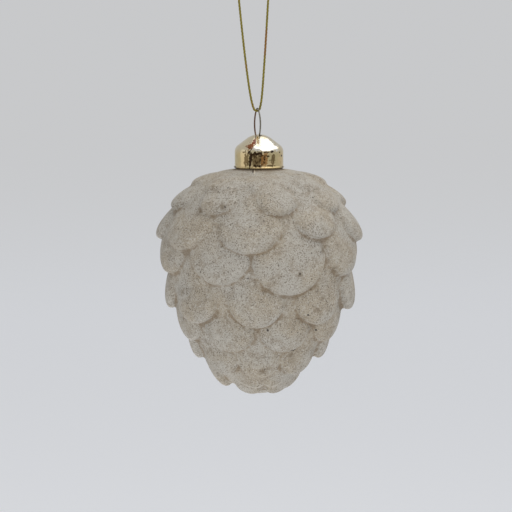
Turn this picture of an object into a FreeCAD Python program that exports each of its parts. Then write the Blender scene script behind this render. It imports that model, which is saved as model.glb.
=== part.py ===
import FreeCAD, Part
import math
import os
from FreeCAD import Vector

# Hanging pine cone bauble: a blown glass shell moulded with rows of overlapping scales, a domed metal cap
# pressed over its neck, a spring wire hanger sprung into the neck through two holes in the cap, and a loop
# of metallic cord through the wire's eye. Millimetres, +Z up. Each piece is built with height 0 at the seat
# of the cap, and the finished ornament is moved so that the top of the cord loop, where it hangs, is the
# origin.

# egg that the scales grow from
egg_radius = 37.0            # widest, measured in the valleys between scales
shoulder_arc = 28.8          # radius of the round from the widest circle up to the seat
side_arc = 75.0              # radius of the long side from the widest circle down
tip_arc = 21.0               # radius of the blunt bottom tip
core_inset = 0.6             # how far the egg lies below the valleys
wall = 1.3                   # glass thickness behind the egg

# scales
crown_flat = 0.52            # radius of the flat middle facet, as a part of the scale's radius
crown_edge = 0.86            # radius where the crown turns into the rounded lip
crown_drop = 0.11            # fall of the crown from its middle to crown_edge, as a part of the radius
lip_drop = 0.29              # fall from the middle to the widest edge
root_radius = 0.92           # radius of the buried foot
root_depth = 0.85            # depth of the buried foot
scale_sides = 12             # facets round one scale
egg_sides = 36               # facets round the egg
egg_rings = 16               # rings of facets down the egg
hollow_sides = 24            # facets round the hollow inside
hollow_rings = 10
tip_scale = 6.4              # radius of the scale at the very tip
tip_scale_lift = 0.6         # how far its middle stands out under the egg

# rows of scales from the shoulder down: place of the lower tips along the side (0 seat, 1 tip), number of
# scales, turn in degrees, width over an even share of the girth, height of a scale's middle over the egg for
# each millimetre of its radius, degrees that its lower edge stands out, and how much higher the row lies at
# the two sides, where the halves of the mould meet
whorls = (
    (0.190, 8, -37.0, 0.70, 0.03, 9.0, 0.030),
    (0.259, 8, 13.0, 0.60, 0.09, 14.0, 0.001),
    (0.377, 8, -6.0, 0.84, 0.03, 18.0, 0.013),
    (0.480, 8, -25.5, 0.92, 0.05, 12.0, 0.028),
    (0.617, 8, -2.0, 0.88, 0.06, 22.0, 0.033),
    (0.719, 8, -24.0, 1.00, 0.06, 15.0, 0.040),
    (0.830, 8, 0.0, 1.16, 0.06, 19.0, 0.060),
    (0.950, 5, -25.0, 1.45, 0.10, 14.0, 0.050),
)
side_power = 6               # how close to the two sides that rise stays
# scales that the mould made unlike their row: (row, place in the row) to (how much lower, how much wider)
odd_scales = {
    (2, 1): (-0.040, 0.85),
    (3, 1): (0.032, 1.16),
    (4, 2): (0.0, 1.18),
}

# neck of the glass, inside the cap
neck_clearance = 0.4         # between the neck and the cap's band
neck_headroom = 0.75         # between the neck's top and the bend of the cap over it
neck_wall = 1.45
seat_ledge = 2.05            # how far the flat ring that the cap stands on reaches past the band

# cap
cap_radius = 9.5
cap_sheet = 0.4              # metal thickness
cap_band = 6.3               # height of the straight band
cap_shoulder = 3.1           # outer radius of the bend above the band
cap_slope = 37.0             # degrees that the cone between shoulder and crown falls
crown_radius = 8.1           # outer radius of the round top
crown_top = 0.85             # radius of the small flat in the middle of the round top
cap_sides = 60               # facets round the cap
shoulder_steps = 3           # steps of each bend in its section
crown_steps = 3
bead_steps = 4
bead_radius = 0.35           # rolled edge at the bottom of the band
seat_gap = 0.05              # between the rolled edge and the glass

# wire hanger, in an upright plane
wire_diameter = 0.6
rod_sides = 8                # facets round the wire and the cord
wire_clearance = 0.3         # round the wire in each hole of the cap
wire_turn = 113.0            # degrees from +X to the plane of the wire
wire_offset = -0.6           # how far the two holes lie off the middle of the cap, along X
foot_spread = 1.9            # half the distance between the two feet of the eye
eye_width = 6.4              # over the outsides of the wire
eye_belly = 4.17             # height of the widest place over the feet
eye_arch = 1.25              # radius of the wire's centre line at the top of the eye
foot_bend = 1.5              # radius of the bend where the wire goes through the cap
leg_depth = 12.0             # from the feet down to the ends of the legs
leg_clearance = 0.3          # between the ends of the legs and the bore

# cord, through the eye
cord_diameter = 0.9
cord_clearance = 0.16        # between the cord and the wire that it hangs from
cord_places = (              # (x, height over the cord's lowest place) from the knot over the loop and back
    (4.0, 51.7),
    (4.2, 59.4),
    (0.4, 63.6),
    (-5.2, 63.6),
    (-9.2, 59.8),
    (-8.7, 52.4),
    (-7.85, 43.2),
    (-5.95, 25.0),
    (-4.25, 11.6),
    (-3.25, 5.3),
    (-2.55, 2.25),
    (-1.75, 0.0),
    (0.05, 0.0),
    (0.65, 2.25),
    (1.1, 5.3),
    (1.6, 11.6),
    (2.5, 25.0),
    (3.35, 39.5),
    (3.8, 47.9),
)
corner_share = 0.45          # share of the shorter run that each bend takes up

# knot that closes the loop, on its right strand
knot_radius = 1.6
knot_shoulder = 0.28         # share of its length over which it swells
knot_sides = 12
knot_gap = 0.05              # between the knot and each end of the cord


def matrix(x, y, z, origin):
    """Placement with the given axes and origin."""
    return FreeCAD.Placement(FreeCAD.Matrix(
        x.x, y.x, z.x, origin.x,
        x.y, y.y, z.y, origin.y,
        x.z, y.z, z.z, origin.z,
        0, 0, 0, 1,
    ))


def faceted(rings, sides):
    """Solid of flat facets through regular polygons, given as (radius, height) from one end to the other."""
    step = 2 * math.pi / sides
    loops = []
    for radius, height in rings:
        loops.append([
            Vector(radius * math.cos((i + 0.5) * step), radius * math.sin((i + 0.5) * step), height)
            for i in range(sides)
        ])
    faces = [Part.Face(Part.makePolygon(loop + loop[:1])) for loop in (loops[0], loops[-1])]
    for upper, lower in zip(loops, loops[1:]):
        for i in range(sides):
            j = (i + 1) % sides
            faces.append(Part.Face(Part.makePolygon([upper[i], upper[j], lower[j], lower[i], upper[i]])))
    solid = Part.Solid(Part.Shell(faces))
    if solid.Volume < 0:
        solid.reverse()
    return solid


def line(a, b):
    return Part.LineSegment(a, b).toShape()


def arc(a, b, c):
    return Part.Arc(a, b, c).toShape()


# neck, which the cap goes over
cap_inside = cap_radius - cap_sheet
neck_radius = cap_inside - neck_clearance
neck_bore = neck_radius - neck_wall
seat_radius = cap_radius + seat_ledge
inner_bend = cap_shoulder - cap_sheet
neck_room = seat_gap + cap_band + math.sqrt(inner_bend ** 2 - (inner_bend - neck_clearance) ** 2)
neck_height = neck_room - neck_headroom

# the egg's outline in one quarter plane: shoulder arc, side arc, tip arc
widest_height = -shoulder_arc
side_centre = egg_radius - side_arc
tip_centre = widest_height - math.sqrt((side_arc - tip_arc) ** 2 - side_centre ** 2)
side_end = math.atan2(widest_height - tip_centre, -side_centre)
shoulder_length = shoulder_arc * math.pi / 2
side_length = side_arc * side_end
tip_length = tip_arc * (math.pi / 2 - side_end)
outline_length = shoulder_length + side_length + tip_length


def outline(along):
    """Point and outward direction on the egg's outline, each as (radius, height), at a length from the seat."""
    if along < shoulder_length:
        turn = math.pi / 2 - along / shoulder_arc
        centre, radius = (egg_radius - shoulder_arc, widest_height), shoulder_arc
    elif along < shoulder_length + side_length:
        turn = -(along - shoulder_length) / side_arc
        centre, radius = (side_centre, widest_height), side_arc
    else:
        turn = -side_end - (along - shoulder_length - side_length) / tip_arc
        centre, radius = (0.0, tip_centre), tip_arc
    out = (math.cos(turn), math.sin(turn))
    return (centre[0] + radius * out[0], centre[1] + radius * out[1]), out


def egg(inset, top_radius, top_height, rings, sides):
    """Closed egg of facets, inset from the outline, under a flat top."""
    loops = [(top_radius, top_height)]
    for i in range(rings):
        point, out = outline(outline_length * (i + 1) / (rings + 0.5))
        loop = (point[0] - inset * out[0], point[1] - inset * out[1])
        if loop[0] > top_radius + inset or len(loops) > 1:
            loops.append(loop)
    return faceted(loops, sides)


def scale(radius):
    """One scale, its middle at the origin and +Z outwards."""
    return faceted([
        (crown_flat * radius, 0.0),
        (crown_edge * radius, -crown_drop * radius),
        (radius, -lip_drop * radius),
        (root_radius * radius, -root_depth * radius),
    ], scale_sides)


def scales():
    """All scales in place on the egg, and one at its tip."""
    placed = []
    for row, (share, count, turn, width, lift, lean, rise) in enumerate(whorls):
        tilt = math.radians(lean)
        for i in range(count):
            lower, wider = odd_scales.get((row, i), (0.0, 1.0))
            around = math.radians(turn + 360.0 * i / count)
            higher = rise * abs(math.sin(around)) ** side_power
            tip = outline_length * (share + lower - higher)
            radius = width * wider * math.pi * outline(tip)[0][0] / count
            point, out = outline(tip - radius * math.cos(tilt))
            angle = around - math.pi / 2
            spin = Vector(-math.sin(angle), math.cos(angle), 0)
            outward = Vector(out[0] * math.cos(angle), out[0] * math.sin(angle), out[1])
            down = spin.cross(outward)
            axis = outward * math.cos(tilt) - down * math.sin(tilt)
            fall = down * math.cos(tilt) + outward * math.sin(tilt)
            middle = Vector(point[0] * math.cos(angle), point[0] * math.sin(angle), point[1])
            piece = scale(radius)
            piece.Placement = matrix(fall, axis.cross(fall), axis, middle + axis * (lift * radius))
            placed.append(piece)
    last = scale(tip_scale)
    bottom = Vector(0, 0, tip_centre - tip_arc - tip_scale_lift)
    last.Placement = matrix(Vector(1, 0, 0), Vector(0, -1, 0), Vector(0, 0, -1), bottom)
    placed.append(last)
    return placed


def make_glass():
    """Shell of glass: scales on an egg, an open neck, and a smooth hollow inside."""
    depth = core_inset + wall
    egg_top = egg(core_inset, seat_radius, 0.0, egg_rings, egg_sides)
    neck = Part.makeCylinder(neck_radius, neck_height + depth, Vector(0, 0, -depth))
    hollow = egg(depth, neck_bore + wall, -depth, hollow_rings, hollow_sides)
    bore = Part.makeCylinder(neck_bore, neck_height + 2 * depth, Vector(0, 0, -2 * depth))
    return egg_top.fuse([neck] + scales()).cut([hollow, bore])


def arc_points(centre, radius, start, end, steps):
    """Points of an arc in a section, as (radius, height), between two angles in degrees from the horizontal."""
    turns = [math.radians(start + (end - start) * i / steps) for i in range(steps + 1)]
    return [(centre[0] + radius * math.cos(t), centre[1] + radius * math.sin(t)) for t in turns]


# the cap's section: centres of its two bends, which the outer and inner faces share
facing = 90.0 - cap_slope
crown_end = math.degrees(math.acos(crown_top / crown_radius))
facing_side = math.cos(math.radians(facing))
facing_up = math.sin(math.radians(facing))
bend_centre = (cap_radius - cap_shoulder, seat_gap + cap_band)
cone_start = (bend_centre[0] + cap_shoulder * facing_side, bend_centre[1] + cap_shoulder * facing_up)
cone_rise = (cone_start[0] - crown_radius * facing_side) * math.tan(math.radians(cap_slope))
crown_centre = (0.0, cone_start[1] + cone_rise - crown_radius * facing_up)


def cap_section(sheet):
    """Section of the cap's outer face for a sheet of 0, or of its inner face, from the band up."""
    shoulder = arc_points(bend_centre, cap_shoulder - sheet, 0.0, facing, shoulder_steps)
    crown = arc_points(crown_centre, crown_radius - sheet, facing, crown_end, crown_steps)
    return shoulder + crown


def crown_height(radius):
    """Height of the crown's face at a distance from the axis."""
    return crown_centre[1] + math.sqrt(crown_radius ** 2 - radius ** 2)


# directions in the wire's plane, and its middle line
wire_side = Vector(math.cos(math.radians(wire_turn)), math.sin(math.radians(wire_turn)), 0)
wire_middle = Vector(wire_offset, 0, 0)


def wire_point(side, height):
    return wire_middle + wire_side * side + Vector(0, 0, height)


def make_cap():
    """Thin domed cap with a rolled edge and two holes for the wire."""
    rolled = arc_points((cap_radius, seat_gap + bead_radius), bead_radius, -90.0, 90.0, bead_steps)
    outer = faceted(rolled + cap_section(0.0), cap_sides)
    inner = faceted([(cap_inside, -cap_band)] + cap_section(cap_sheet), cap_sides)
    hole = wire_diameter / 2 + wire_clearance
    drills = [
        Part.makeCylinder(hole, crown_radius, wire_point(side * foot_spread, crown_centre[1]))
        for side in (-1, 1)
    ]
    return outer.cut([inner] + drills)


# height of the feet of the eye, just over the cap, and the eye's line: belly arcs and top arch
feet_height = crown_height(foot_spread)
belly_side = (eye_width - wire_diameter) / 2
belly_swell = belly_side - foot_spread
belly_radius = (belly_swell ** 2 + eye_belly ** 2) / (2 * belly_swell)
belly_centre = (belly_side - belly_radius, feet_height + eye_belly)
arch_height = belly_centre[1] + math.sqrt((belly_radius - eye_arch) ** 2 - belly_centre[0] ** 2)
eye_top = arch_height + eye_arch - wire_diameter / 2


def wire_half():
    """Points of one half of the wire from the end of its leg to its top, as (side, height)."""
    leg_room = neck_bore - leg_clearance - wire_diameter / 2 - abs(wire_offset)
    end = (leg_room, feet_height - leg_depth)
    foot = (foot_spread, feet_height)
    lean = math.asin(eye_belly / belly_radius)
    bend = (foot[0] + foot_bend * math.cos(lean), foot[1] - foot_bend * math.sin(lean))
    reach = math.hypot(end[0] - bend[0], end[1] - bend[1])
    toward = math.atan2(end[1] - bend[1], end[0] - bend[0]) - math.acos(foot_bend / reach)
    leave = (bend[0] + foot_bend * math.cos(toward), bend[1] + foot_bend * math.sin(toward))
    middle = (toward + math.pi - lean - 2 * math.pi) / 2
    bent = (bend[0] + foot_bend * math.cos(middle), bend[1] + foot_bend * math.sin(middle))
    join = math.atan2(arch_height - belly_centre[1], -belly_centre[0])
    belly = (belly_centre[0] + belly_radius, belly_centre[1])
    meet = (eye_arch * math.cos(join), arch_height + eye_arch * math.sin(join))
    return end, leave, bent, foot, belly, meet


def rod(path, start, along, sideways, diameter):
    """Rod of flat facets along a path of tangent runs and arcs in one plane, which faces sideways."""
    across = along.cross(sideways)
    across.normalize()
    step = 2 * math.pi / rod_sides
    corners = []
    for i in range(rod_sides):
        turn = (i + 0.5) * step
        corners.append(start + (across * math.cos(turn) + sideways * math.sin(turn)) * (diameter / 2))
    return path.makePipe(Part.Face(Part.makePolygon(corners + corners[:1])))


def make_hanger():
    """One spring wire: two splayed legs in the neck, bends through the cap, and the eye over it."""
    end, leave, bent, foot, belly, meet = wire_half()
    right = [wire_point(*p) for p in (end, leave, bent, foot, belly, meet)]
    left = [wire_point(-p[0], p[1]) for p in (end, leave, bent, foot, belly, meet)]
    top = wire_point(0, arch_height + eye_arch)
    path = Part.Wire([
        line(right[0], right[1]), arc(right[1], right[2], right[3]), arc(right[3], right[4], right[5]),
        arc(right[5], top, left[5]),
        arc(left[5], left[4], left[3]), arc(left[3], left[2], left[1]), line(left[1], left[0]),
    ])
    return rod(path, right[0], right[1] - right[0], wire_side.cross(Vector(0, 0, 1)), wire_diameter)


def cord_points():
    lowest = eye_top - cord_clearance - cord_diameter / 2
    return [Vector(x, 0, lowest + height) for x, height in cord_places]


def rounded(points):
    """Path of straight runs joined by tangent arcs, with the radius of each arc."""
    edges = []
    radii = []
    start = points[0]
    for before, corner, after in zip(points, points[1:], points[2:]):
        back = before - corner
        ahead = after - corner
        reach = corner_share * min(back.Length, ahead.Length)
        turn = math.pi - back.getAngle(ahead)
        radius = reach / math.tan(turn / 2)
        back.normalize()
        ahead.normalize()
        enter = corner + back * reach
        leave = corner + ahead * reach
        inward = back + ahead
        inward.normalize()
        middle = corner + inward * (radius / math.cos(turn / 2) - radius)
        edges += [line(start, enter), arc(enter, middle, leave)]
        radii.append(radius)
        start = leave
    edges.append(line(start, points[-1]))
    return Part.Wire(edges), radii


def make_cord():
    """Limp cord, drawn taut through the wire's eye by its own loop."""
    points = cord_points()
    path, radii = rounded(points)
    cord = rod(path, points[0], points[1] - points[0], Vector(0, 1, 0), cord_diameter)
    print("cord radii", [round(r, 1) for r in radii])
    section = rod_sides / 2 * math.sin(2 * math.pi / rod_sides) * (cord_diameter / 2) ** 2
    print("cord length", round(path.Length, 1), "section times length", round(path.Length * section, 2),
          "volume", round(cord.Volume, 2))
    return cord


def make_knot():
    """Tight round knot between the cord's two ends."""
    points = cord_points()
    lower, upper = points[-1], points[0]
    along = upper - lower
    length = along.Length
    knot = faceted([
        (cord_diameter / 2, knot_gap),
        (knot_radius, knot_shoulder * length),
        (knot_radius, (1 - knot_shoulder) * length),
        (cord_diameter / 2, length - knot_gap),
    ], knot_sides)
    knot.Placement = FreeCAD.Placement(lower, FreeCAD.Rotation(Vector(0, 0, 1), along))
    return knot


if __name__ == "__main__":
    os.makedirs("parts", exist_ok=True)
    pieces = {
        "glass_cone": make_glass(),
        "cap": make_cap(),
        "wire_hanger": make_hanger(),
        "hanging_cord": make_cord(),
        "cord_knot": make_knot(),
    }
    points = cord_points()
    hang = Vector((points[2].x + points[3].x) / 2, 0, points[2].z - cord_diameter / 2)
    print("hanging place over the seat", hang)
    for name, piece in pieces.items():
        piece.translate(-hang)
        piece.exportStep("parts/" + name + ".step")
        print(name, piece.isValid(), len(piece.Solids), round(piece.Volume, 2), piece.BoundBox)
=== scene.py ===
import math

import bmesh
import bpy
import numpy
from mathutils import Matrix, Vector


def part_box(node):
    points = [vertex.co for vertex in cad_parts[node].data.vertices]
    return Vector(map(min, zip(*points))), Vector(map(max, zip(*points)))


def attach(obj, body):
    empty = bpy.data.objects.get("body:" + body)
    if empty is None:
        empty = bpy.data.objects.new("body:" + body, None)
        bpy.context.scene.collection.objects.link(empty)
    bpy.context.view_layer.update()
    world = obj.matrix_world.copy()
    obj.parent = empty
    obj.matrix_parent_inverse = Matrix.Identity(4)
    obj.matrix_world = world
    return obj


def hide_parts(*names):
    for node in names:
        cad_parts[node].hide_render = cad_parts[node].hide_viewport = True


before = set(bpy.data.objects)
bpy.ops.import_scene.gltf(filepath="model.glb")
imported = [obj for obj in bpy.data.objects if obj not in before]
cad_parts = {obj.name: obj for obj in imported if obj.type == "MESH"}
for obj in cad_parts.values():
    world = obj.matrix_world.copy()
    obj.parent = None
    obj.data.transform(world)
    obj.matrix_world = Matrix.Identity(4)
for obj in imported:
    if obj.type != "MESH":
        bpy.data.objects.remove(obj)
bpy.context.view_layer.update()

mm = 0.001
merge_reach = 0.001 * mm     # points this close are one

# the ornament's own axis and the seat of the cap, from the cap's box
seat_gap = 0.05 * mm
cap_low, cap_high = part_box("cap")
middle = (cap_low + cap_high) / 2
seat = Vector((middle.x, middle.y, cap_low.z - seat_gap))

# camera, as the photograph was taken: a long lens from the front, a little above
photo_side = 512             # pixels each way
pixel = 0.392 * mm           # what one of them covers at the ornament
camera_distance = 0.9
camera_height = math.radians(6.0)
view_offset = Vector((-1.18 * mm, 0, -34.7 * mm))    # from the seat to the photograph's middle
view_centre = seat + view_offset
camera_back = Vector((0, -math.cos(camera_height), math.sin(camera_height)))
camera_up = Vector((0, math.sin(camera_height), math.cos(camera_height)))

# stage
room_grey = (0.577, 0.583, 0.594, 1.0)
floor_white = (0.84, 0.85, 0.87, 1.0)
floor_roughness = 0.95
floor_glow = (0.90, 0.92, 0.97, 1.0)
floor_glow_strength = 0.14
floor_drop = 0.60            # how far the floor lies under the hanging place
floor_reach = 40.0
floor_near = 3.4             # where it begins to fade into the room's grey
floor_far = 10.0             # where it has faded

# soft boxes: name, place from the middle of the view, side in metres, power in watts, colour
soft_boxes = (
    ("window", (0.46, -0.62, 0.66), 0.7, 1.6, (1.0, 0.98, 0.95)),
    ("overhead", (0.36, 0.02, 0.92), 1.45, 6.4, (1.0, 0.99, 0.97)),
    ("fill", (-1.0, -0.34, 0.10), 1.0, 0.8, (0.97, 0.98, 1.0)),
    ("low_glow", (-0.09, -0.42, -0.34), 0.33, 0.54, (1.0, 0.99, 0.97)),
    ("back_glow", (-0.11, 0.42, -0.34), 0.33, 0.5, (1.0, 1.0, 1.0)),
)

# egg that the scales grow from
egg_radius = 37.0 * mm
shoulder_arc = 28.8 * mm
side_arc = 75.0 * mm
tip_arc = 21.0 * mm
core_inset = 0.6 * mm
wall = 1.3 * mm

# scales
crown_power = 2.6            # how flat the middle of a scale is
lip_power = 1.9              # how round its lip is
lip_drop = 0.31              # fall from its middle to its widest edge, as a part of its radius
lip_under = (0.985, 0.08)    # radius, and depth below the widest edge, where the lip turns under
root_radius = 0.90
root_top = 0.22              # depth below the widest edge where the buried foot begins
root_depth = 0.85
tip_scale = 6.4 * mm
tip_scale_lift = 0.6 * mm
side_power = 6               # how close to the two sides of the mould a row's rise stays
# rows: place along the side, number, turn in degrees, width, lift, tilt in degrees, rise at the two sides
whorls = (
    (0.190, 8, -37.0, 0.70, 0.03, 9.0, 0.030),
    (0.259, 8, 13.0, 0.60, 0.09, 14.0, 0.001),
    (0.377, 8, -6.0, 0.84, 0.03, 18.0, 0.013),
    (0.480, 8, -25.5, 0.92, 0.05, 12.0, 0.028),
    (0.617, 8, -2.0, 0.88, 0.06, 22.0, 0.033),
    (0.719, 8, -24.0, 1.00, 0.06, 15.0, 0.040),
    (0.830, 8, 0.0, 1.16, 0.06, 19.0, 0.060),
    (0.950, 5, -25.0, 1.45, 0.10, 14.0, 0.050),
)
# scales that the mould made unlike their row: (row, place in the row) to (how much lower, how much wider)
odd_scales = {
    (2, 1): (-0.040, 0.85),
    (3, 1): (0.032, 1.16),
    (4, 2): (0.0, 1.18),
}
scale_sides = 56
scale_rings = 18
egg_sides = 160
egg_rings = 90
skin_voxel = 0.62 * mm
skin_smoothing = 5           # rounds of smoothing
skin_softness = 0.5          # how far each round moves a point
crease_reach = 30            # rounds of smoothing that a crease's depth is measured against

# neck and cap
neck_radius = 8.7 * mm
neck_bore = 7.25 * mm
neck_height = 7.0 * mm
cap_radius = 9.5 * mm
cap_sheet = 0.4 * mm
cap_band = 6.3 * mm
cap_shoulder = 3.1 * mm
cap_slope = math.radians(37.0)
crown_radius = 8.1 * mm
bead_radius = 0.35 * mm
band_edge = 0.2 * mm         # where the straight band begins, past the bends at its ends
cap_sides = 128
bead_steps = 10              # facets along each arc of its section
shoulder_steps = 12
crown_steps = 14
drill_depth = 4.0 * mm
drill_sides = 32

# wire
wire_diameter = 0.6 * mm
wire_clearance = 0.3 * mm
wire_turn = math.radians(113.0)
wire_offset = -0.6 * mm
foot_spread = 1.9 * mm
eye_width = 6.4 * mm
eye_belly = 4.17 * mm
eye_arch = 1.25 * mm
foot_bend = 1.5 * mm
leg_depth = 12.0 * mm
leg_clearance = 0.3 * mm
wire_rounds = 8
wire_bend_steps = 12
wire_belly_steps = 24

# cord
cord_diameter = 0.9 * mm
cord_clearance = 0.16 * mm
# its route as (x, height over its lowest place) in millimetres, from the knot over the loop and back
cord_places = (
    (4.0, 51.7),
    (4.2, 59.4),
    (0.4, 63.6),
    (-5.2, 63.6),
    (-9.2, 59.8),
    (-8.7, 52.4),
    (-7.85, 43.2),
    (-5.95, 25.0),
    (-4.25, 11.6),
    (-3.25, 5.3),
    (-2.55, 2.25),
    (-1.75, 0.0),
    (0.05, 0.0),
    (0.65, 2.25),
    (1.1, 5.3),
    (1.6, 11.6),
    (2.5, 25.0),
    (3.35, 39.5),
    (3.8, 47.9),
)
strands = 3                  # twisted together
strand_radius = 0.24 * mm
strand_pitch = 4.2 * mm      # length of one turn of the twist
strand_rounds = 2
route_steps = 48             # points on each span of the cord's spline
knot_wide = 0.36 * mm
knot_deep = 0.62 * mm
knot_tall = 0.50 * mm
knot_shift = 0.47            # in parts of knot_tall; it brings the turns level with the cord's ends
knot_steps = 96
core_steps = 10              # points of the cord inside the knot


def new_piece(name, mesh):
    """Smooth object of a mesh, which rides on the ornament's one body."""
    mesh.shade_smooth()
    piece = bpy.data.objects.new(name, mesh)
    bpy.context.scene.collection.objects.link(piece)
    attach(piece, "root")
    return piece


def to_mesh(name, bm):
    """Mesh from mesh code, with its faces outwards."""
    bmesh.ops.recalc_face_normals(bm, faces=bm.faces)
    mesh = bpy.data.meshes.new(name)
    bm.to_mesh(mesh)
    bm.free()
    return mesh


def finished(holder):
    """Mesh of an object with its modifiers or its bevel worked in."""
    graph = bpy.context.evaluated_depsgraph_get()
    return bpy.data.meshes.new_from_object(holder.evaluated_get(graph))


def stands_for(piece, node, material):
    """Let a piece take a node's place, with its material."""
    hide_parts(node)
    piece.data.materials.clear()
    piece.data.materials.append(material)


def turned(profile, steps):
    """Closed solid turned from a half section of (radius, height) points, whose ends lie on the axis."""
    bm = bmesh.new()
    line = [bm.verts.new((radius, 0, height)) for radius, height in profile]
    runs = [bm.edges.new(ends) for ends in zip(line, line[1:])]
    bmesh.ops.spin(
        bm, geom=line + runs, cent=(0, 0, 0), axis=(0, 0, 1), angle=2 * math.pi, steps=steps,
        use_merge=True,
    )
    bmesh.ops.remove_doubles(bm, verts=bm.verts, dist=merge_reach)
    return bm


def drawn(name, lines, radius, rounds):
    """Mesh of round rods drawn along lines of points."""
    curve = bpy.data.curves.new(name, "CURVE")
    curve.dimensions = "3D"
    curve.bevel_depth = radius
    curve.bevel_resolution = rounds
    curve.use_fill_caps = True
    for line in lines:
        spline = curve.splines.new("POLY")
        spline.points.add(len(line) - 1)
        for point, place in zip(spline.points, line):
            point.co = (*place, 1.0)
    holder = bpy.data.objects.new(name, curve)
    bpy.context.scene.collection.objects.link(holder)
    mesh = finished(holder)
    bpy.data.objects.remove(holder)
    return mesh


def arc_points(centre, radius, start, end, steps):
    """Points of an arc, between two angles from the first axis."""
    turns = [start + (end - start) * i / steps for i in range(steps + 1)]
    return [(centre[0] + radius * math.cos(t), centre[1] + radius * math.sin(t)) for t in turns]


# the egg's outline in one quarter plane: shoulder arc, side arc, tip arc
side_centre = egg_radius - side_arc
tip_centre = -shoulder_arc - math.sqrt((side_arc - tip_arc) ** 2 - side_centre ** 2)
side_end = math.atan2(-shoulder_arc - tip_centre, -side_centre)
shoulder_length = shoulder_arc * math.pi / 2
side_length = side_arc * side_end
outline_length = shoulder_length + side_length + tip_arc * (math.pi / 2 - side_end)


def outline(along):
    """Point and outward direction on the egg's outline, as (radius, height), by length from the seat."""
    if along < shoulder_length:
        turn = math.pi / 2 - along / shoulder_arc
        centre, radius = (egg_radius - shoulder_arc, -shoulder_arc), shoulder_arc
    elif along < shoulder_length + side_length:
        turn = -(along - shoulder_length) / side_arc
        centre, radius = (side_centre, -shoulder_arc), side_arc
    else:
        turn = -side_end - (along - shoulder_length - side_length) / tip_arc
        centre, radius = (0.0, tip_centre), tip_arc
    out = (math.cos(turn), math.sin(turn))
    return (centre[0] + radius * out[0], centre[1] + radius * out[1]), out


def egg_profile(inset, neck, top):
    """Half section of a neck that runs up to a top, over the egg inset from its outline."""
    profile = [(0.0, top), (neck, top)]
    for i in range(1, egg_rings):
        (radius, height), out = outline(outline_length * i / egg_rings)
        if radius - inset * out[0] > neck or i > egg_rings / 2:
            if len(profile) == 2:
                profile.append((neck, height - inset * out[1]))
            profile.append((radius - inset * out[0], height - inset * out[1]))
    profile.append((0.0, tip_centre - tip_arc + inset))
    return profile


def scale_profile():
    """Half section of a pillow of radius 1, with a nearly flat crown, a round lip and a buried foot."""
    profile = [(0.0, 0.0)]
    for i in range(1, scale_rings + 1):
        share = math.sin(math.pi / 2 * i / scale_rings)
        fall = 1 - (1 - share ** crown_power) ** (1 / lip_power)
        profile.append((share, -lip_drop * fall))
    profile += [
        (lip_under[0], -lip_drop - lip_under[1]),
        (root_radius, -lip_drop - root_top),
        (root_radius, -root_depth),
        (0.0, -root_depth),
    ]
    return profile


def scale_places():
    """Placement and radius of each scale, and of the one at the tip."""
    for row, (share, count, turn, width, lift, lean, rise) in enumerate(whorls):
        tilt = math.radians(lean)
        for i in range(count):
            lower, wider = odd_scales.get((row, i), (0.0, 1.0))
            around = math.radians(turn + 360.0 * i / count)
            higher = rise * abs(math.sin(around)) ** side_power
            tip = outline_length * (share + lower - higher)
            radius = width * wider * math.pi * outline(tip)[0][0] / count
            point, out = outline(tip - radius * math.cos(tilt))
            angle = around - math.pi / 2
            spin = Vector((-math.sin(angle), math.cos(angle), 0))
            outward = Vector((out[0] * math.cos(angle), out[0] * math.sin(angle), out[1]))
            down = spin.cross(outward)
            axis = outward * math.cos(tilt) - down * math.sin(tilt)
            fall = down * math.cos(tilt) + outward * math.sin(tilt)
            centre = Vector((point[0] * math.cos(angle), point[0] * math.sin(angle), point[1]))
            leaning = Matrix((fall, axis.cross(fall), axis)).transposed().to_4x4()
            yield Matrix.Translation(centre + axis * (lift * radius)) @ leaning, radius
    bottom = Vector((0, 0, tip_centre - tip_arc - tip_scale_lift))
    yield Matrix.Translation(bottom) @ Matrix.Rotation(math.pi, 4, "X"), tip_scale


def make_glass():
    """Blown shell: scales and egg run together into one skin with soft creases, hollow inside."""
    pillow = to_mesh("scale", turned(scale_profile(), scale_sides))
    bm = turned(egg_profile(core_inset, neck_radius, neck_height), egg_sides)
    for place, radius in scale_places():
        scale = pillow.copy()
        scale.transform(place @ Matrix.Scale(radius, 4))
        bm.from_mesh(scale)
    bmesh.ops.translate(bm, vec=seat, verts=bm.verts)
    glass = new_piece("glass_shell", to_mesh("glass_shell", bm))
    core = turned(egg_profile(core_inset + wall, neck_bore, neck_height + wall), egg_sides // 2)
    bmesh.ops.translate(core, vec=seat, verts=core.verts)
    hollow = new_piece("hollow", to_mesh("hollow", core))
    skin = glass.modifiers.new("skin", "REMESH")
    skin.mode = "VOXEL"
    skin.voxel_size = skin_voxel
    soften = glass.modifiers.new("soften", "SMOOTH")
    soften.factor = skin_softness
    soften.iterations = skin_smoothing
    cut = glass.modifiers.new("hollow", "BOOLEAN")
    cut.operation = "DIFFERENCE"
    cut.solver = "MANIFOLD"
    cut.object = hollow
    mesh = finished(glass)
    glass.modifiers.clear()
    glass.data = mesh
    mesh.shade_smooth()
    bpy.data.objects.remove(hollow)
    mark_creases(mesh)
    return glass


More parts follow.
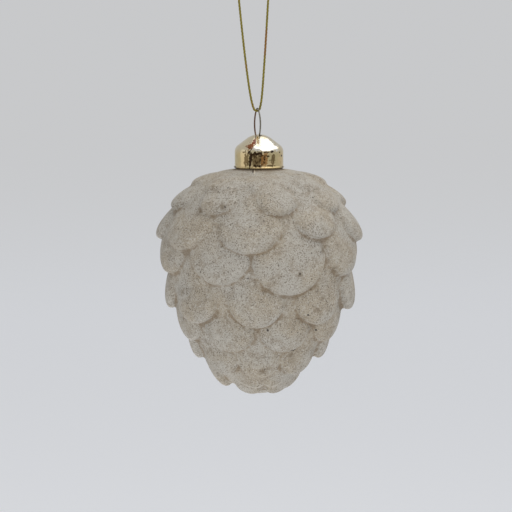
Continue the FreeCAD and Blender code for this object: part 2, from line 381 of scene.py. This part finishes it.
def mark_creases(mesh):
    """Keep, as an attribute, how many millimetres each point lies under the smoothed skin around it."""
    count = len(mesh.vertices)
    places = numpy.empty(count * 3)
    mesh.vertices.foreach_get("co", places)
    places = places.reshape(count, 3)
    normals = numpy.empty(count * 3)
    mesh.vertex_normals.foreach_get("vector", normals)
    ends = numpy.empty(len(mesh.edges) * 2, dtype=int)
    mesh.edges.foreach_get("vertices", ends)
    first, second = ends.reshape(-1, 2).T
    near = numpy.bincount(first, minlength=count) + numpy.bincount(second, minlength=count)
    smooth = places.copy()
    for _ in range(crease_reach):
        for k in range(3):
            values = smooth[:, k]
            total = numpy.bincount(first, values[second], count)
            total += numpy.bincount(second, values[first], count)
            smooth[:, k] = (values + total) / (near + 1)
    depth = ((smooth - places) * normals.reshape(count, 3)).sum(axis=1) / mm
    mesh.attributes.new("crease", "FLOAT", "POINT").data.foreach_set("value", depth)


# the cap's section
facing = math.pi / 2 - cap_slope
bend_centre = (cap_radius - cap_shoulder, seat_gap + cap_band)
cone_start = (
    bend_centre[0] + cap_shoulder * math.cos(facing),
    bend_centre[1] + cap_shoulder * math.sin(facing),
)
cone_rise = (cone_start[0] - crown_radius * math.cos(facing)) * math.tan(cap_slope)
crown_centre = (0.0, cone_start[1] + cone_rise - crown_radius * math.sin(facing))
feet_height = crown_centre[1] + math.sqrt(crown_radius ** 2 - foot_spread ** 2)


def cap_section(sheet):
    """Section of the cap's outer face for a sheet of 0, or of its inner face, from the band up."""
    shoulder = arc_points(bend_centre, cap_shoulder - sheet, 0.0, facing, shoulder_steps)
    crown = arc_points(crown_centre, crown_radius - sheet, facing, math.pi / 2, crown_steps)
    band_top = (cap_radius - sheet, seat_gap + cap_band - band_edge)
    return [band_top] + shoulder + crown[:-1] + [(0.0, crown_centre[1] + crown_radius - sheet)]


wire_side = Vector((math.cos(wire_turn), math.sin(wire_turn), 0))


def wire_point(side, height):
    """Point in the wire's plane."""
    return seat + Vector((wire_offset, 0, height)) + wire_side * side


def make_cap():
    """Domed cap of thin sheet with a rolled edge and two drilled holes."""
    bead_centre = (cap_radius, seat_gap + bead_radius)
    rolled = arc_points(bead_centre, bead_radius, -math.pi / 2, math.pi / 2, bead_steps)
    band_foot = (cap_radius, seat_gap + 2 * bead_radius + band_edge)
    outer = list(reversed(rolled + [band_foot] + cap_section(0.0)))
    inner = [(cap_radius - cap_sheet, seat_gap)] + cap_section(cap_sheet)
    bm = turned(outer + inner, cap_sides)
    bmesh.ops.translate(bm, vec=seat, verts=bm.verts)
    cap = new_piece("cap_shell", to_mesh("cap_shell", bm))
    drills = bmesh.new()
    hole = wire_diameter / 2 + wire_clearance
    for side in (-1, 1):
        bmesh.ops.create_cone(
            drills, cap_ends=True, segments=drill_sides, radius1=hole, radius2=hole, depth=drill_depth,
            matrix=Matrix.Translation(wire_point(side * foot_spread, feet_height)),
        )
    drill = new_piece("drill", to_mesh("drill", drills))
    cut = cap.modifiers.new("holes", "BOOLEAN")
    cut.operation = "DIFFERENCE"
    cut.solver = "EXACT"
    cut.object = drill
    mesh = finished(cap)
    cap.modifiers.clear()
    cap.data = mesh
    mesh.shade_smooth()
    bpy.data.objects.remove(drill)
    return cap


# the eye of the wire
belly_side = (eye_width - wire_diameter) / 2
belly_swell = belly_side - foot_spread
belly_radius = (belly_swell ** 2 + eye_belly ** 2) / (2 * belly_swell)
belly_centre = (belly_side - belly_radius, feet_height + eye_belly)
arch_height = belly_centre[1] + math.sqrt((belly_radius - eye_arch) ** 2 - belly_centre[0] ** 2)
eye_top = arch_height + eye_arch - wire_diameter / 2


def wire_half():
    """Points of one half of the wire from the end of its leg to its top, as (side, height)."""
    leg_room = neck_bore - leg_clearance - wire_diameter / 2 - abs(wire_offset)
    end = (leg_room, feet_height - leg_depth)
    lean = math.asin(eye_belly / belly_radius)
    bend = (foot_spread + foot_bend * math.cos(lean), feet_height - foot_bend * math.sin(lean))
    reach = math.hypot(end[0] - bend[0], end[1] - bend[1])
    toward = math.atan2(end[1] - bend[1], end[0] - bend[0]) - math.acos(foot_bend / reach)
    join = math.atan2(arch_height - belly_centre[1], -belly_centre[0])
    points = [end]
    points += arc_points(bend, foot_bend, toward, math.pi - lean - 2 * math.pi, wire_bend_steps)
    points += arc_points(belly_centre, belly_radius, -lean, join, wire_belly_steps)[1:]
    points += arc_points((0.0, arch_height), eye_arch, join, math.pi / 2, wire_bend_steps)[1:]
    return points


def make_wire():
    """Spring wire with its eye over the cap and its legs in the neck."""
    half = wire_half()
    line = [wire_point(side, height) for side, height in half]
    line += [wire_point(-side, height) for side, height in reversed(half[:-1])]
    return new_piece("wire_eye", drawn("wire_eye", [line], wire_diameter / 2, wire_rounds))


def cord_route():
    """Points of the cord's middle line, from the knot over the loop and back, off its spline."""
    curve = bpy.data.curves.new("cord_route", "CURVE")
    curve.dimensions = "3D"
    curve.resolution_u = route_steps
    spline = curve.splines.new("NURBS")
    spline.points.add(len(cord_places) - 1)
    lowest = eye_top - cord_clearance - cord_diameter / 2
    for point, (x, height) in zip(spline.points, cord_places):
        place = seat + Vector((x * mm, 0, lowest + height * mm))
        point.co = (*place, 1.0)
    spline.order_u = 3
    spline.use_endpoint_u = True
    holder = bpy.data.objects.new("cord_route", curve)
    bpy.context.scene.collection.objects.link(holder)
    points = [vertex.co.copy() for vertex in finished(holder).vertices]
    bpy.data.objects.remove(holder)
    return points


def twisted(line):
    """Lines of the strands that wind round a middle line."""
    swing = cord_diameter / 2 - strand_radius
    wound = [[] for _ in range(strands)]
    side = Vector((0, 1, 0))
    travelled = 0.0
    for i, point in enumerate(line):
        before = line[max(i - 1, 0)]
        after = line[min(i + 1, len(line) - 1)]
        along = (after - before).normalized()
        side = (side - along * side.dot(along)).normalized()
        up = along.cross(side)
        travelled += (point - before).length
        for k, strand in enumerate(wound):
            turn = 2 * math.pi * (travelled / strand_pitch + k / strands)
            strand.append(point + (side * math.cos(turn) + up * math.sin(turn)) * swing)
    return wound


def make_cord(route):
    """Twisted metallic cord through the wire's eye."""
    return new_piece("twisted_cord", drawn("twisted_cord", twisted(route), strand_radius, strand_rounds))


def make_knot(route):
    """Overhand knot drawn tight, where the two ends of the cord meet, with the cord on through it."""
    low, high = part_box("cord_knot")
    centre = (low + high) / 2
    line = []
    for i in range(knot_steps + 1):
        t = 2 * math.pi * i / knot_steps
        line.append(centre + Vector((
            (math.sin(t) + 2 * math.sin(2 * t)) * knot_wide,
            math.sin(3 * t) * knot_deep,
            (math.cos(t) - 2 * math.cos(2 * t) + knot_shift) * knot_tall,
        )))
    start = route[-1]
    across = route[0] - route[-1]
    core = [start + across * (i / core_steps) for i in range(-1, core_steps + 2)]
    lines = twisted(line) + twisted(core)
    return new_piece("tied_knot", drawn("tied_knot", lines, strand_radius, strand_rounds))


def tint(red, green, blue):
    """Linear colour of the 0 to 255 values that a surface shows."""
    shares = [value / 255 for value in (red, green, blue)]
    return (*(s / 12.92 if s <= 0.04045 else ((s + 0.055) / 1.055) ** 2.4 for s in shares), 1.0)


def add(tree, kind, **settings):
    """New node of a kind, with its settings."""
    made = tree.nodes.new("ShaderNode" + kind)
    for name, value in settings.items():
        setattr(made, name, value)
    return made


def feed(tree, socket, value):
    """Link a socket to another, or set it to a value."""
    if isinstance(value, bpy.types.NodeSocket):
        tree.links.new(value, socket)
    else:
        socket.default_value = value


def calc(tree, operation, first, second=0.0, third=0.0):
    """Result of a sum on numbers."""
    made = add(tree, "Math", operation=operation)
    for socket, value in zip(made.inputs, (first, second, third)):
        feed(tree, socket, value)
    return made.outputs[0]


def ramp(tree, value, zero, one):
    """Smooth step of a value, from 0 at one end to 1 at the other."""
    made = add(tree, "MapRange", interpolation_type="SMOOTHSTEP")
    feed(tree, made.inputs["Value"], value)
    made.inputs["From Min"].default_value = zero
    made.inputs["From Max"].default_value = one
    return made.outputs["Result"]


def between(tree, value, low, high, soft):
    """1 where a value lies between two others, falling to 0 over a soft edge."""
    over = ramp(tree, value, low - soft, low + soft)
    under = ramp(tree, value, high + soft, high - soft)
    return calc(tree, "MULTIPLY", over, under)


def share_of(tree, mask, share):
    """A mask times a share."""
    return calc(tree, "MULTIPLY", mask, share)


def mix(tree, mask, first, second):
    """Colour between two others by a mask."""
    made = add(tree, "Mix", data_type="RGBA")
    feed(tree, made.inputs[0], mask)
    feed(tree, made.inputs[6], first)
    feed(tree, made.inputs[7], second)
    return made.outputs[2]


def lay(tree, colour, mask, share, shade):
    """Colour with a share of a shade laid over it where a mask is."""
    return mix(tree, share_of(tree, mask, share), colour, shade)


def axes_of(tree, place):
    """The three coordinates of a place."""
    made = add(tree, "SeparateXYZ")
    feed(tree, made.inputs[0], place)
    return made.outputs


def mottle(tree, place, size, detail=2.0):
    """Noise whose marks are about a size across."""
    made = add(tree, "TexNoise")
    feed(tree, made.inputs["Vector"], place)
    made.inputs["Scale"].default_value = 1 / size
    made.inputs["Detail"].default_value = detail
    return made.outputs[0]


speck_core = 0.6             # solid part of a speck's radius


def specks(tree, place, spacing, size, chosen):
    """Mask of round specks of a radius, in a chosen share of cells a spacing apart."""
    cells = add(tree, "TexVoronoi")
    feed(tree, cells.inputs["Vector"], place)
    cells.inputs["Scale"].default_value = 1 / spacing
    parts = add(tree, "SeparateColor")
    feed(tree, parts.inputs[0], cells.outputs["Color"])
    kept = calc(tree, "LESS_THAN", parts.outputs[0], chosen)
    dots = ramp(tree, cells.outputs["Distance"], size / spacing, speck_core * size / spacing)
    return calc(tree, "MULTIPLY", dots, kept)


def distance_to(tree, place, point):
    """Distance of a place from a point."""
    made = add(tree, "VectorMath", operation="DISTANCE")
    feed(tree, made.inputs[0], place)
    made.inputs[1].default_value = point
    return made.outputs["Value"]


def relief(tree, shader, height, depth):
    """Fine relief of a depth under the shader."""
    made = add(tree, "Bump")
    made.inputs["Distance"].default_value = depth
    feed(tree, made.inputs["Height"], height)
    feed(tree, shader.inputs["Normal"], made.outputs["Normal"])


def finish(name, metallic=0.0):
    """New material with its tree, its shader and the place on the ornament."""
    material = bpy.data.materials.new(name)
    material.use_nodes = True
    tree = material.node_tree
    shader = tree.nodes["Principled BSDF"]
    shader.inputs["Metallic"].default_value = metallic
    place = add(tree, "TexCoord").outputs["Object"]
    return material, tree, shader, place


def seen_at(piece, x, y):
    """Point of a piece that the camera sees at a pixel of the photograph."""
    half = photo_side / 2
    right = Vector((1, 0, 0)) * ((x - half) * pixel)
    target = view_centre + right + camera_up * ((half - y) * pixel)
    eye = view_centre + camera_back * camera_distance
    hit, point, _, _ = piece.ray_cast(eye, target - eye)
    return point if hit else target


# marks on the frosted skin: pixel of the photograph and radius in millimetres
dark_grains = (
    (267.6, 330.4, 0.62), (315.9, 329.9, 0.60), (291.6, 350.4, 0.55), (293.4, 350.0, 0.62),
    (295.1, 349.2, 0.45), (308.0, 315.0, 0.48), (300.0, 274.0, 0.42), (248.0, 278.5, 0.44),
    (225.0, 207.0, 0.42), (228.0, 188.0, 0.38), (250.0, 227.0, 0.36), (288.0, 188.0, 0.30),
    (274.7, 201.8, 0.26), (246.5, 206.0, 0.26), (313.0, 197.5, 0.36), (267.0, 378.0, 0.26),
    (232.0, 383.0, 0.28), (262.0, 340.0, 0.22),
)
soft_stains = (
    (200.0, 213.0, 2.6), (335.0, 270.0, 2.6), (322.0, 297.0, 2.2), (317.0, 309.0, 2.2),
    (207.0, 342.0, 2.6), (211.0, 350.0, 2.2), (183.0, 320.0, 2.4), (299.0, 174.5, 2.2),
    (222.0, 207.0, 2.6), (262.0, 372.0, 2.4), (300.0, 276.0, 2.2), (291.0, 356.0, 2.4),
    (253.0, 283.0, 2.8), (212.0, 188.0, 3.0), (323.0, 250.0, 2.2),
)
# short runs of the coat under the cap: pixel, then half the width and half the height in millimetres
dark_run = ((252.9, 171.5, 0.26, 1.0),)
pale_run = ((254.7, 172.0, 0.22, 0.9),)

# ragged edges of spots and blots
spot_grain = 0.9 * mm        # size of the noise that moves a spot's edge
spot_edge = 1.5              # where a spot ends: its radius, and half of it for the middle of the noise
blot_grain = 0.8 * mm
blot_ragged = 2.6            # how far the noise moves a blot's edge, in parts of the blot
blot_depth = 0.28 / mm       # how fast a blot fades with depth
blot_edge = (1.2, 0.8)       # where a blot begins and is whole, in parts of its size


def spots(tree, place, piece, marks, edge):
    """Mask of ragged spots where the photograph shows them, fading over an edge in parts of the radius."""
    ragged = mottle(tree, place, spot_grain, 2.0)
    mask = 0.0
    for x, y, radius in marks:
        away = distance_to(tree, place, seen_at(piece, x, y))
        reach = calc(tree, "MULTIPLY_ADD", ragged, radius * mm, away)
        spot = ramp(tree, reach, spot_edge * radius * mm, (spot_edge - edge) * radius * mm)
        mask = calc(tree, "MAXIMUM", mask, spot)
    return mask


def blots(tree, place, piece, marks):
    """Mask of ragged patches where the photograph shows them."""
    noise = mottle(tree, place, blot_grain, 3.0)
    ragged = calc(tree, "MULTIPLY_ADD", noise, blot_ragged, -blot_ragged / 2)
    mask = 0.0
    for x, y, wide, tall in marks:
        off = add(tree, "VectorMath", operation="SUBTRACT")
        feed(tree, off.inputs[0], place)
        off.inputs[1].default_value = seen_at(piece, x, y)
        flat = add(tree, "VectorMath", operation="MULTIPLY")
        feed(tree, flat.inputs[0], off.outputs[0])
        flat.inputs[1].default_value = (1 / (wide * mm), blot_depth, 1 / (tall * mm))
        away = add(tree, "VectorMath", operation="LENGTH")
        feed(tree, away.inputs[0], flat.outputs[0])
        reach = calc(tree, "ADD", away.outputs["Value"], ragged)
        mask = calc(tree, "MAXIMUM", mask, ramp(tree, reach, *blot_edge))
    return mask


# colours of the frosted skin
cool_sand = tint(168, 163, 153)
warm_sand = tint(163, 153, 136)
brown_sand = tint(136, 124, 106)
pale_sand = tint(184, 179, 168)
dark_sand = tint(98, 86, 72)
bright_sand = tint(200, 195, 186)
crease_shade_brown = tint(116, 95, 66)
stain_brown = tint(108, 93, 72)
speck_brown = tint(84, 70, 54)
speck_dark = tint(66, 54, 44)
grain_dark = tint(46, 38, 34)
mould_pale = tint(196, 190, 178)
run_dark = tint(66, 50, 42)
run_pale = tint(198, 188, 168)

# line that the mould left down both sides
mould_straight = 56.0 * mm   # how far under the seat it begins to swing forward
mould_swung = 88.0 * mm      # how far under the seat the swing ends
mould_swing = 12.0 * mm
mould_edge = 0.45 * mm       # half its width, with its soft edge
mould_core = 0.15 * mm       # half its width, without it
skin_relief = 0.16 * mm


def mould_line(tree, place):
    """Mask of the line that the mould left down both sides."""
    axes = axes_of(tree, place)
    swung = ramp(tree, axes["Z"], seat.z - mould_straight, seat.z - mould_swung)
    off = calc(tree, "MULTIPLY_ADD", swung, mould_swing, calc(tree, "SUBTRACT", axes["Y"], seat.y))
    return ramp(tree, calc(tree, "ABSOLUTE", off), mould_edge, mould_core)


def frosted_skin(glass):
    """Sandy frost on glass: fine dark grains over soft tones, brown painted shade in the creases, with a
    mould line.
    """
    material, tree, shader, place = finish("sandy_frost")
    broad = mottle(tree, place, 16 * mm, 3.0)
    gathering = mottle(tree, place, 7 * mm, 3.0)
    patches = mottle(tree, place, 4.5 * mm, 4.0)
    clumps = mottle(tree, place, 1.7 * mm, 2.0)
    grains = mottle(tree, place, 0.5 * mm, 1.5)
    fine = mottle(tree, place, 0.32 * mm, 0.0)
    colour = mix(tree, ramp(tree, broad, 0.38, 0.62), cool_sand, warm_sand)
    colour = lay(tree, colour, ramp(tree, patches, 0.46, 0.70), 0.60, brown_sand)
    colour = lay(tree, colour, ramp(tree, clumps, 0.50, 0.32), 0.42, pale_sand)
    gathered = calc(tree, "MULTIPLY_ADD", ramp(tree, gathering, 0.46, 0.62), 0.28, 0.62)
    dark = calc(tree, "MULTIPLY", ramp(tree, grains, 0.51, 0.66), gathered)
    colour = mix(tree, dark, colour, dark_sand)
    colour = lay(tree, colour, ramp(tree, fine, 0.44, 0.26), 0.62, bright_sand)

    # painted shade: the creases darkened brown by how far each point lies under the smoothed skin
    depth = add(tree, "Attribute", attribute_name="crease").outputs["Fac"]
    uneven = calc(tree, "MULTIPLY_ADD", calc(tree, "SUBTRACT", clumps, 0.5), 0.6, depth)
    colour = lay(tree, colour, ramp(tree, uneven, 0.16, 0.50), 0.58, crease_shade_brown)

    stain = spots(tree, place, glass, soft_stains, 0.95)
    stain = calc(tree, "MULTIPLY", stain, ramp(tree, clumps, 0.30, 0.62))
    colour = lay(tree, colour, stain, 0.75, stain_brown)
    colour = lay(tree, colour, specks(tree, place, 1.5 * mm, 0.26 * mm, 0.30), 0.65, speck_brown)
    colour = lay(tree, colour, specks(tree, place, 4.2 * mm, 0.38 * mm, 0.35), 0.8, speck_dark)
    colour = lay(tree, colour, spots(tree, place, glass, dark_grains, 0.5), 0.9, grain_dark)

    line = calc(tree, "MULTIPLY", mould_line(tree, place), ramp(tree, patches, 0.35, 0.55))
    colour = lay(tree, colour, line, 0.55, mould_pale)
    colour = mix(tree, blots(tree, place, glass, dark_run), colour, run_dark)
    colour = mix(tree, blots(tree, place, glass, pale_run), colour, run_pale)
    feed(tree, shader.inputs["Base Color"], colour)

    glint = specks(tree, place, 1.1 * mm, 0.22 * mm, 0.10)
    rough = calc(tree, "MULTIPLY_ADD", clumps, 0.25, 0.62)
    feed(tree, shader.inputs["Roughness"], calc(tree, "MULTIPLY_ADD", glint, -0.4, rough))
    shader.inputs["Specular IOR Level"].default_value = 0.35
    height = calc(tree, "MULTIPLY_ADD", grains, -0.6, calc(tree, "MULTIPLY", fine, 0.5))
    height = calc(tree, "MULTIPLY_ADD", patches, 1.6, height)
    height = calc(tree, "MULTIPLY_ADD", line, 0.8, height)
    relief(tree, shader, height, skin_relief)
    return material


# colours of the cap
gold = (0.70, 0.545, 0.30, 1.0)
green_gold = (0.60, 0.50, 0.27, 1.0)
highlight_pale_gold = (0.71, 0.63, 0.46, 1.0)
# brass of the worn mottle, and of the painted shade along the foot
wear_and_shade_brass = (0.20, 0.115, 0.025, 1.0)
grime_brown = (0.05, 0.026, 0.010, 1.0)
highlight_silver = (0.92, 0.88, 0.80, 1.0)

# marks on the cap: pixel of the photograph, then half the width and half the height in millimetres
# painted highlight: silver patches on the dome where the overhead lamp's highlight falls
highlight_marks = ((266.5, 143.5, 4.4, 2.9), (262.0, 148.6, 4.6, 1.0), (272.0, 147.0, 3.0, 1.6))
highlight_strength = 0.85
grime_marks = ((258.6, 159.4, 3.7, 3.1),)
# tarnish, painted reflection and painted shade: its shade, its strength and its marks; the tall dark
# streaks down the band and the ragged dark streak under the shoulder are painted reflections of dark
# surroundings, the marks along the foot are painted shade, and the small spots and the copper, orange and
# gold patches are tarnish
tarnish_reflection_and_shade = (
    ((0.135, 0.085, 0.032, 1.0), 0.85, (
        (254.6, 160.0, 1.5, 3.0), (258.5, 160.5, 1.3, 2.6), (261.6, 158.5, 0.5, 2.6),
        (273.2, 159.0, 0.7, 2.6), (245.6, 159.5, 0.6, 2.8), (244.2, 152.1, 0.5, 0.3),
        (247.5, 158.0, 0.5, 3.2), (271.0, 165.6, 1.6, 0.4),
    )),
    ((0.34, 0.16, 0.045, 1.0), 0.85, (
        (264.6, 160.0, 1.15, 2.5), (265.6, 155.0, 1.1, 1.0), (262.6, 164.6, 1.0, 0.7),
        (248.2, 150.4, 0.45, 0.3),
    )),
    ((0.26, 0.15, 0.03, 1.0), 0.85, (
        (257.4, 138.3, 0.5, 1.0), (258.0, 142.0, 0.5, 0.9),
    )),
    ((0.20, 0.055, 0.012, 1.0), 0.95, (
        (249.6, 147.2, 1.25, 1.1), (251.2, 145.4, 1.0, 0.8), (252.8, 143.6, 0.8, 0.7),
    )),
    ((0.16, 0.036, 0.020, 1.0), 0.90, (
        (254.3, 142.2, 0.65, 1.0), (255.2, 139.6, 0.4, 0.7),
    )),
    ((0.026, 0.012, 0.006, 1.0), 0.96, (
        (250.6, 159.8, 0.75, 3.6), (249.2, 152.0, 0.8, 0.6), (254.3, 153.6, 0.9, 0.7),
        (257.6, 154.2, 1.1, 0.65), (260.4, 153.4, 0.8, 0.6), (264.6, 152.4, 0.7, 0.22),
        (271.8, 151.9, 0.75, 0.42), (268.8, 152.4, 0.6, 0.2), (267.7, 156.3, 0.36, 0.40),
        (264.5, 159.5, 0.28, 0.34), (264.0, 157.4, 0.16, 0.2), (279.5, 152.3, 0.26, 0.36),
        (281.4, 155.5, 0.20, 0.5), (255.0, 166.0, 0.8, 0.42), (259.4, 166.2, 1.1, 0.40),
        (271.8, 166.2, 0.5, 0.22), (235.0, 167.2, 0.5, 0.4), (282.6, 166.9, 0.4, 0.3),
        (255.8, 137.6, 0.22, 0.6), (260.6, 135.6, 0.5, 0.16),
    )),
)
pale_start = 5.2 * mm        # height over the seat where the dome's paler wash, a painted highlight, begins
pale_end = 8.0 * mm
foot_shade_height = 1.0 * mm       # how far up from the rolled edge the painted shade along the foot reaches
cap_relief = 0.10 * mm


def tarnished_gold(cap):
    """Thin polished sheet with a gold wash, brown where it has worn and tarnished at the front, with
    painted reflections of dark surroundings and painted shade in dark streaks, and a paler dome and silver
    patches as painted highlight.
    """
    material, tree, shader, place = finish("tarnished_gold", metallic=1.0)
    up = calc(tree, "SUBTRACT", axes_of(tree, place)["Z"], seat.z)
    colour = mix(tree, ramp(tree, mottle(tree, place, 5 * mm, 2.0), 0.35, 0.65), gold, green_gold)
    # painted highlight: the dome paler, so that the overhead lamp's highlight shows white
    colour = lay(tree, colour, ramp(tree, up, pale_start, pale_end), 0.80, highlight_pale_gold)
    worn = ramp(tree, mottle(tree, place, 1.1 * mm, 4.0), 0.60, 0.72)
    colour = lay(tree, colour, worn, 0.35, wear_and_shade_brass)
    # painted highlight: silver patches on the dome
    colour = lay(tree, colour, blots(tree, place, cap, highlight_marks), highlight_strength, highlight_silver)
    # tarnish, painted reflections and painted shade, laid on in turn
    tarnish_reflection_shade_mask = 0.0
    for shade, strength, marks in tarnish_reflection_and_shade:
        mask = share_of(tree, blots(tree, place, cap, marks), strength)
        colour = mix(tree, mask, colour, shade)
        tarnish_reflection_shade_mask = calc(tree, "MAXIMUM", tarnish_reflection_shade_mask, mask)
    flecks = ramp(tree, mottle(tree, place, 1.2 * mm, 3.0), 0.47, 0.58)
    grime = calc(tree, "MULTIPLY", blots(tree, place, cap, grime_marks), flecks)
    colour = lay(tree, colour, grime, 0.8, grime_brown)
    # painted shade along the foot of the cap, where it meets the glass
    foot = ramp(tree, up, foot_shade_height, foot_shade_height / 10)
    colour = lay(tree, colour, foot, 0.25, wear_and_shade_brass)
    feed(tree, shader.inputs["Base Color"], colour)

    rough = calc(tree, "MULTIPLY_ADD", worn, 0.15, 0.13)
    feed(tree, shader.inputs["Roughness"], calc(tree, "MULTIPLY_ADD", tarnish_reflection_shade_mask, 0.22, rough))
    dents = calc(tree, "ADD", mottle(tree, place, 3.2 * mm, 1.0), share_of(tree, tarnish_reflection_shade_mask, -0.3))
    relief(tree, shader, dents, cap_relief)
    return material


# colours of the wire and the cord
wire_brown = tint(104, 78, 60)
wire_grey = tint(128, 124, 112)
wire_dark = tint(66, 48, 36)
thread_olive = tint(134, 122, 38)
thread_copper = tint(142, 94, 44)
thread_dark = tint(72, 60, 18)
thread_bright = tint(196, 178, 92)

wire_blend = 1.0 * mm        # half the width over which the wire's brown turns to grey
wire_drift = 3.0 * mm        # how far the noise moves that change
wire_relief = 0.02 * mm
copper_low = 43.5 * mm       # height over the seat of the coppery stretch on one side of the loop
copper_high = 54.0 * mm
copper_edge = 1.6 * mm
copper_side = 3.0 * mm       # how far left of the ornament's axis it has faded
thread_relief = 0.05 * mm


def aged_wire():
    """Dull spring wire, brown on one side of its eye and grey on the other."""
    material, tree, shader, place = finish("aged_wire", metallic=1.0)
    drift = mottle(tree, place, 4 * mm, 3.0)
    tone = calc(tree, "MULTIPLY_ADD", drift, wire_drift, axes_of(tree, place)["X"])
    side = seat.x + wire_offset + wire_drift / 2
    colour = mix(tree, ramp(tree, tone, side - wire_blend, side + wire_blend), wire_brown, wire_grey)
    worn = mottle(tree, place, 0.5 * mm, 2.0)
    colour = lay(tree, colour, ramp(tree, worn, 0.50, 0.66), 0.5, wire_dark)
    feed(tree, shader.inputs["Base Color"], colour)
    feed(tree, shader.inputs["Roughness"], calc(tree, "MULTIPLY_ADD", worn, 0.3, 0.2))
    relief(tree, shader, worn, wire_relief)
    return material


def metallic_thread():
    """Olive gold thread, coppery in stretches, with fine bright and dark fibres."""
    material, tree, shader, place = finish("metallic_thread", metallic=0.45)
    stretch = share_of(tree, ramp(tree, mottle(tree, place, 11 * mm, 2.0), 0.56, 0.70), 0.5)
    axes = axes_of(tree, place)
    coppery = between(tree, axes["Z"], seat.z + copper_low, seat.z + copper_high, copper_edge)
    coppery = calc(tree, "MULTIPLY", coppery, ramp(tree, axes["X"], seat.x - copper_side, seat.x))
    stretch = calc(tree, "MAXIMUM", stretch, share_of(tree, coppery, 0.9))
    colour = mix(tree, stretch, thread_olive, thread_copper)
    fibres = mottle(tree, place, 0.24 * mm, 2.0)
    colour = lay(tree, colour, ramp(tree, fibres, 0.50, 0.64), 0.7, thread_dark)
    colour = lay(tree, colour, ramp(tree, fibres, 0.42, 0.30), 0.6, thread_bright)
    feed(tree, shader.inputs["Base Color"], colour)
    shader.inputs["Roughness"].default_value = 0.42
    relief(tree, shader, fibres, thread_relief)
    return material


def make_stage():
    """Pale floor far under the hanging ornament, which fades to the room's own grey far away."""
    bm = bmesh.new()
    bmesh.ops.create_grid(
        bm, x_segments=1, y_segments=1, size=floor_reach, matrix=Matrix.Translation((0, 0, -floor_drop)),
    )
    floor = bpy.data.objects.new("floor", to_mesh("floor", bm))
    bpy.context.scene.collection.objects.link(floor)
    material, tree, shader, place = finish("floor")
    shader.inputs["Base Color"].default_value = floor_white
    shader.inputs["Roughness"].default_value = floor_roughness
    shader.inputs["Emission Color"].default_value = floor_glow
    shader.inputs["Emission Strength"].default_value = floor_glow_strength
    far = add(tree, "Emission")
    far.inputs["Color"].default_value = room_grey
    fade = add(tree, "MixShader")
    nearness = calc(tree, "DIVIDE", 1.0, distance_to(tree, place, (0, 0, 0)))
    feed(tree, fade.inputs[0], ramp(tree, nearness, 1 / floor_near, 1 / floor_far))
    feed(tree, fade.inputs[1], shader.outputs[0])
    feed(tree, fade.inputs[2], far.outputs[0])
    feed(tree, tree.nodes["Material Output"].inputs["Surface"], fade.outputs[0])
    floor.data.materials.append(material)


def soft_box(name, place, side, power, colour):
    """Square area light, aimed at the middle of the view."""
    light = bpy.data.lights.new(name, "AREA")
    light.size = side
    light.energy = power
    light.color = colour
    holder = bpy.data.objects.new(name, light)
    holder.location = view_centre + Vector(place)
    holder.rotation_mode = "QUATERNION"
    holder.rotation_quaternion = (-Vector(place)).to_track_quat("-Z", "Y")
    holder.visible_camera = False
    bpy.context.scene.collection.objects.link(holder)


def make_lights():
    """Bright even room with a window at the right, a large overhead, a fill and two low glows."""
    world = bpy.data.worlds.new("room")
    world.use_nodes = True
    world.node_tree.nodes["Background"].inputs["Color"].default_value = room_grey
    world.node_tree.nodes["Background"].inputs["Strength"].default_value = 1.0
    bpy.context.scene.world = world
    for name, place, side, power, colour in soft_boxes:
        soft_box(name, place, side, power, colour)


def make_camera():
    """Long lens from the front, a little above."""
    camera = bpy.data.cameras.new("camera")
    camera.sensor_width = 36.0
    camera.lens = camera.sensor_width * camera_distance / (photo_side * pixel)
    holder = bpy.data.objects.new("camera", camera)
    holder.location = view_centre + camera_back * camera_distance
    holder.rotation_mode = "QUATERNION"
    holder.rotation_quaternion = (-camera_back).to_track_quat("-Z", "Y")
    bpy.context.scene.collection.objects.link(holder)
    bpy.context.scene.camera = holder


make_camera()
route = cord_route()
cord = make_cord(route)
knot = make_knot(route)
thread = metallic_thread()
stands_for(cord, "hanging_cord", thread)
stands_for(knot, "cord_knot", thread)
glass = make_glass()
bpy.context.view_layer.update()
stands_for(glass, "glass_cone", frosted_skin(glass))
cap = make_cap()
bpy.context.view_layer.update()
stands_for(cap, "cap", tarnished_gold(cap))
stands_for(make_wire(), "wire_hanger", aged_wire())
make_stage()
make_lights()
bpy.context.scene.view_settings.view_transform = "Standard"
